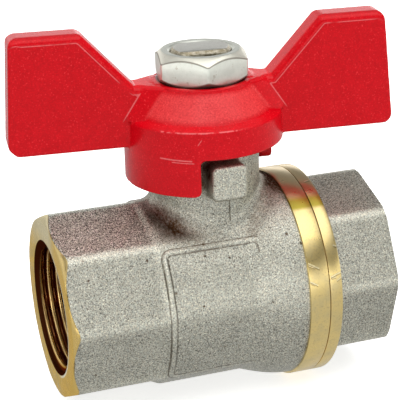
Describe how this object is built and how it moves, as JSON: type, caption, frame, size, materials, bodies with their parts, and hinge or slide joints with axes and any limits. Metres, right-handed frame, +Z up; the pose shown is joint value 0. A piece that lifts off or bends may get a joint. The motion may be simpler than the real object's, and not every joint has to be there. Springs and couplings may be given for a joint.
{
  "type": "water shutoff ball valve",
  "caption": "Inline quarter-turn ball valve with female pipe threads and a red butterfly handle, built as an assembly with a working stem and ball.",
  "frame": {"origin": "centre of the inlet mouth, on the pipe axis", "axes": "+X along the pipe from the inlet to the outlet, +Z up the stem, +Y to the rear of the side that carries the stop lug"},
  "size_m": [0.0778, 0.0436, 0.0766],
  "materials": {
    "plated_brass": "forged, sand-blasted and nickel plated; ring and mouths machined bare",
    "stem_plate": "turned and nickel plated",
    "zinc_plate": "zinc plated",
    "red_lacquer": "die cast with gloss red lacquer",
    "chromed_ball": "polished chrome plate",
    "ptfe": "plain PTFE",
    "gasket_fibre": "pressed fibre and rubber",
    "seal_rubber": "moulded rubber"
  },
  "bodies": {
    "housing": {"valve_body": "plated_brass", "end_connector": "plated_brass", "inlet_seat": "ptfe", "outlet_seat": "ptfe", "body_gasket": "gasket_fibre"},
    "spindle": {"ball": "chromed_ball", "stem": "stem_plate", "thrust_washer": "ptfe", "lower_stem_seal": "seal_rubber", "upper_stem_seal": "seal_rubber", "handle": "red_lacquer", "lock_nut": "zinc_plate"}
  },
  "joints": [
    {"name": "handle_turn", "type": "hinge", "parent": "housing", "child": "spindle", "pos_m": [0.0334, 0, 0], "axis": [0, 0, 1], "range_deg": [-83, 7]}
  ]
}
